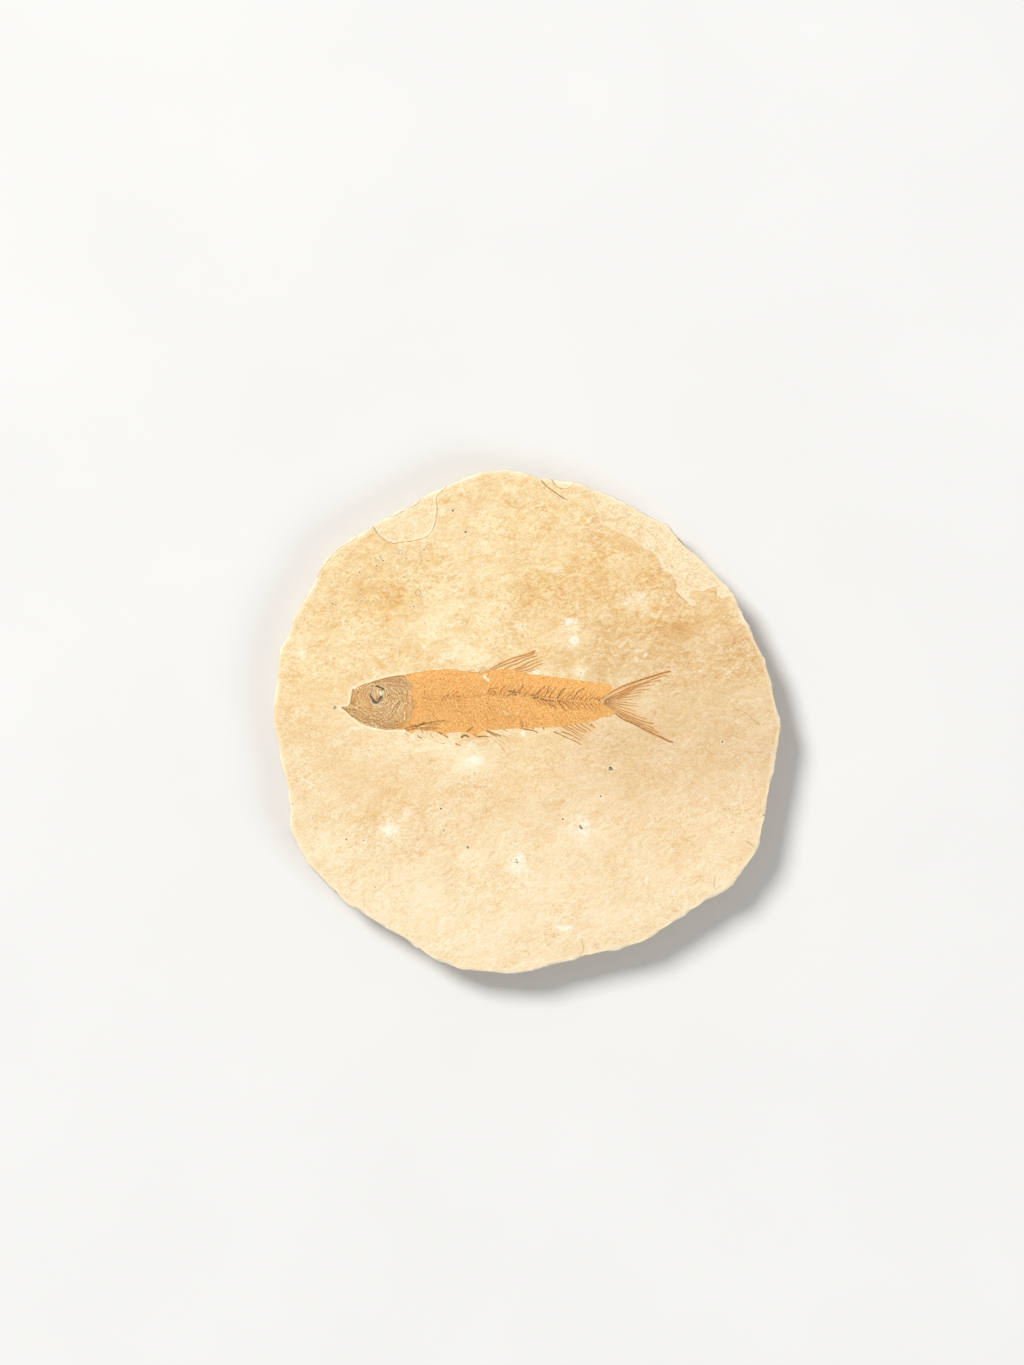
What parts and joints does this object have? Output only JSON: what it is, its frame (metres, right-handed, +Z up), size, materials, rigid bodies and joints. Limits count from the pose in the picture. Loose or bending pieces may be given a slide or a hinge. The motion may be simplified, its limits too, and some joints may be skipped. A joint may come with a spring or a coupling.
{
  "type": "fossil fish slab",
  "caption": "Thin, roughly round plate of pale limestone with a nibbled edge, holding the flattened fossil of a small slender fish in its upper face.",
  "frame": {"origin": "centre of the slab's outline, on its flat underside", "axes": "+Z up out of the face that carries the fish; +X along the fish from head to tail; +Y towards the fish's back"},
  "size_m": [0.115, 0.1138, 0.0096],
  "materials": {
    "limestone": "matt fine-grained stone",
    "fossil": "satin mineralised bone"
  },
  "bodies": {
    "root": {"limestone_slab": "limestone", "fossil_fish": "fossil"}
  },
  "joints": []
}
